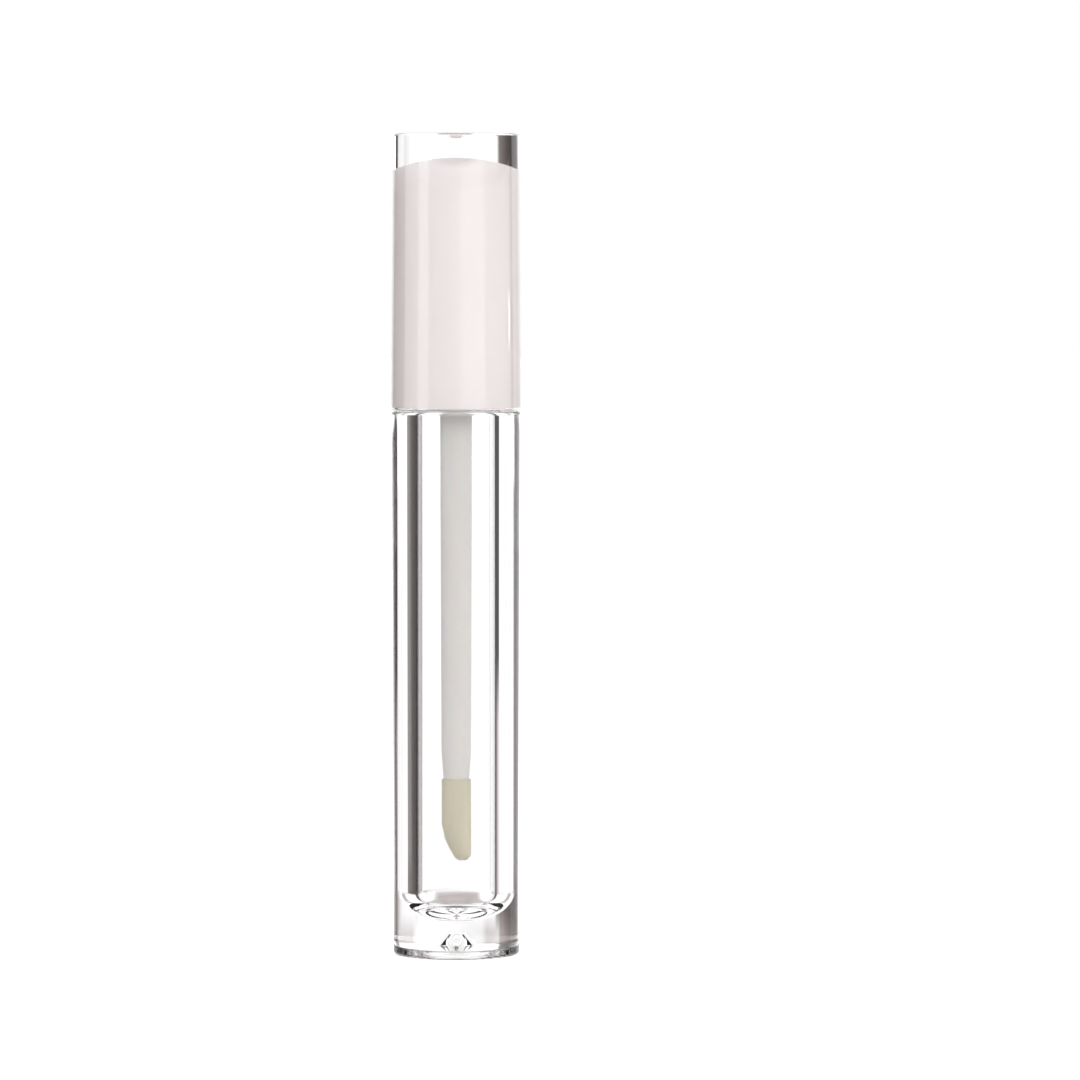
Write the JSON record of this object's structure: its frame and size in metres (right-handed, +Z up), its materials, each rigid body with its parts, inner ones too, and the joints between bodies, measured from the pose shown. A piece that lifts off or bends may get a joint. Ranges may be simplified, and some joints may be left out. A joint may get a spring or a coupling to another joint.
{
  "type": "lip gloss tube",
  "caption": "Round thick-walled clear gloss tube with a screw neck, a wiper, and a tall white-lined clear cap that holds a stem with a slanted flocked applicator.",
  "frame": {"origin": "centre of the bottle's foot, on the surface that it stands on", "axes": "+Z up along the tube's axis, towards the cap; the applicator's slanted face looks towards -X"},
  "size_m": [0.0194, 0.0192, 0.1215],
  "materials": {
    "clear_bottle": "polished clear plastic, thick wall",
    "wiper_pe": "soft natural polyethylene",
    "gasket_foam": "fine closed-cell foam",
    "insert_pp": "white moulded, satin",
    "white_liner": "white moulded, seen through the clear shell",
    "clear_shell": "polished clear plastic",
    "stem_pp": "milky satin plastic",
    "core_tpe": "soft elastomer",
    "flock_fibre": "short dense flocked fibres"
  },
  "bodies": {
    "bottle": {"bottle": "clear_bottle"},
    "wiper": {"wiper": "wiper_pe"},
    "gasket": {"gasket": "gasket_foam"},
    "cap": {"thread_insert": "insert_pp", "cap_liner": "white_liner", "cap_shell": "clear_shell", "wand_stem": "stem_pp", "applicator_core": "core_tpe", "applicator_flock": "flock_fibre"}
  },
  "joints": [
    {"name": "cap_turn", "type": "hinge", "parent": "bottle", "child": "wiper", "pos_m": [0, 0, 0.0805], "axis": [0, 0, 1], "range_deg": [0, 450]},
    {"name": "cap_lift", "type": "slide", "parent": "wiper", "child": "gasket", "axis": [0, 0, 1], "range_m": [0, 0.09]},
    {"name": "cap_rise", "type": "slide", "parent": "gasket", "child": "cap", "axis": [0, 0, 1], "range_m": [0, 0.00313]}
  ],
  "couplings": [
    {"joint": "cap_rise", "follows": "cap_turn", "m_per_rad": 0.00039789}
  ]
}
